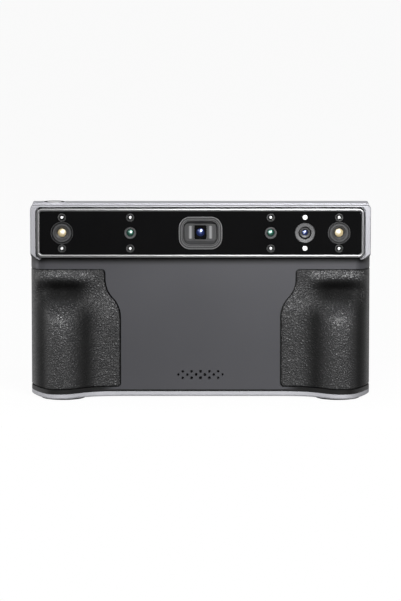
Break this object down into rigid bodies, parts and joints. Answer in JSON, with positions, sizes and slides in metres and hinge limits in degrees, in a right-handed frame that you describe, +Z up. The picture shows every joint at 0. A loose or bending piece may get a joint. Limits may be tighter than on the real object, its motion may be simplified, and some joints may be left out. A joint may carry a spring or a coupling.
{
  "type": "three-d scanner",
  "caption": "Hand-held 3-D scanner with a camera bar behind a black window, a dark front panel, grained rubber grips, a silver casing, a roof button and a fold-up rear screen.",
  "frame": {"origin": "Under the middle of the part, on the surface that its feet stand on", "axes": "+X to the right seen from the front, +Y to the back, +Z up"},
  "size_m": [0.21, 0.05, 0.1211],
  "materials": {
    "silver_casing": "satin silver",
    "bright_bezel": "bright bevelled ring",
    "black_window": "gloss black window",
    "graphite_panel": "satin dark grey",
    "grip_rubber": "leather grain rubber",
    "foot_rubber": "matt black rubber",
    "polished_button": "polished",
    "lens_barrel": "black moulded",
    "grey_ring": "dark grey metal",
    "gold_lens": "warm coated glass",
    "green_lens": "green coated glass",
    "blue_lens": "blue coated glass",
    "lamp_white": "white lamp",
    "screen_glass": "dark touch glass",
    "display_panel": "display",
    "circuit_board": "green board",
    "dark_metal": "black metal",
    "steel": "bright steel",
    "bare_aluminium": "milled",
    "battery_wrap": "wrapped cell",
    "brass_insert": "turned brass"
  },
  "bodies": {
    "scanner_body": {"base_plate_screws": "steel", "battery_pack": "battery_wrap", "board_screws": "steel", "bottom_plate": "silver_casing", "bracket_screws": "steel", "casing_screws": "steel", "colour_barrel": "grey_ring", "colour_lens": "blue_lens", "far_barrel_left": "lens_barrel", "far_barrel_right": "lens_barrel", "far_lens_left": "gold_lens", "far_lens_right": "gold_lens", "flash_leds": "lamp_white", "front_frame": "silver_casing", "front_panel": "graphite_panel", "heat_spreader": "bare_aluminium", "hinge_bracket_left": "dark_metal", "hinge_bracket_right": "dark_metal", "hinge_pins": "steel", "hinge_screws": "steel", "infrared_leds": "lamp_white", "led_rings": "grey_ring", "left_foot": "foot_rubber", "left_grip": "grip_rubber", "light_bars": "lamp_white", "main_board": "circuit_board", "near_barrel_left": "lens_barrel", "near_barrel_right": "lens_barrel", "near_lens_left": "green_lens", "near_lens_right": "green_lens", "optics_bracket": "bare_aluminium", "power_board": "circuit_board", "power_switch": "dark_metal", "projector_lens": "blue_lens", "projector_nose": "lens_barrel", "projector_rim": "grey_ring", "rear_housing": "silver_casing", "right_foot": "foot_rubber", "right_grip": "grip_rubber", "scan_board": "circuit_board", "scan_collar": "silver_casing", "scan_switch": "dark_metal", "sensor_boards": "circuit_board", "sensor_holders": "lens_barrel", "shield_can": "steel", "speaker": "lens_barrel", "speaker_mesh": "dark_metal", "tripod_insert": "brass_insert", "usb_board": "circuit_board", "usb_socket": "steel", "window_bezel": "bright_bezel", "window_plate": "black_window"},
    "screen": {"screen_cover": "graphite_panel", "screen_glass": "screen_glass", "screen_panel": "display_panel", "screen_board": "circuit_board", "hinge_barrel": "silver_casing"},
    "scan_cap": {"scan_button": "polished_button"},
    "power_cap": {"power_key": "graphite_panel"}
  },
  "joints": [
    {"name": "screen_flip", "type": "hinge", "parent": "scanner_body", "child": "screen", "pos_m": [0, 0.021, 0.106], "axis": [1, 0, 0], "range_deg": [0, 180]},
    {"name": "scan_press", "type": "slide", "parent": "scanner_body", "child": "scan_cap", "axis": [0, 0, -1], "range_m": [0, 0.0008], "stiffness_N_per_m": 2500, "springref_m": -0.0004},
    {"name": "power_press", "type": "slide", "parent": "scanner_body", "child": "power_cap", "axis": [0, -1, 0], "range_m": [0, 0.0008], "stiffness_N_per_m": 2500, "springref_m": -0.0004}
  ]
}
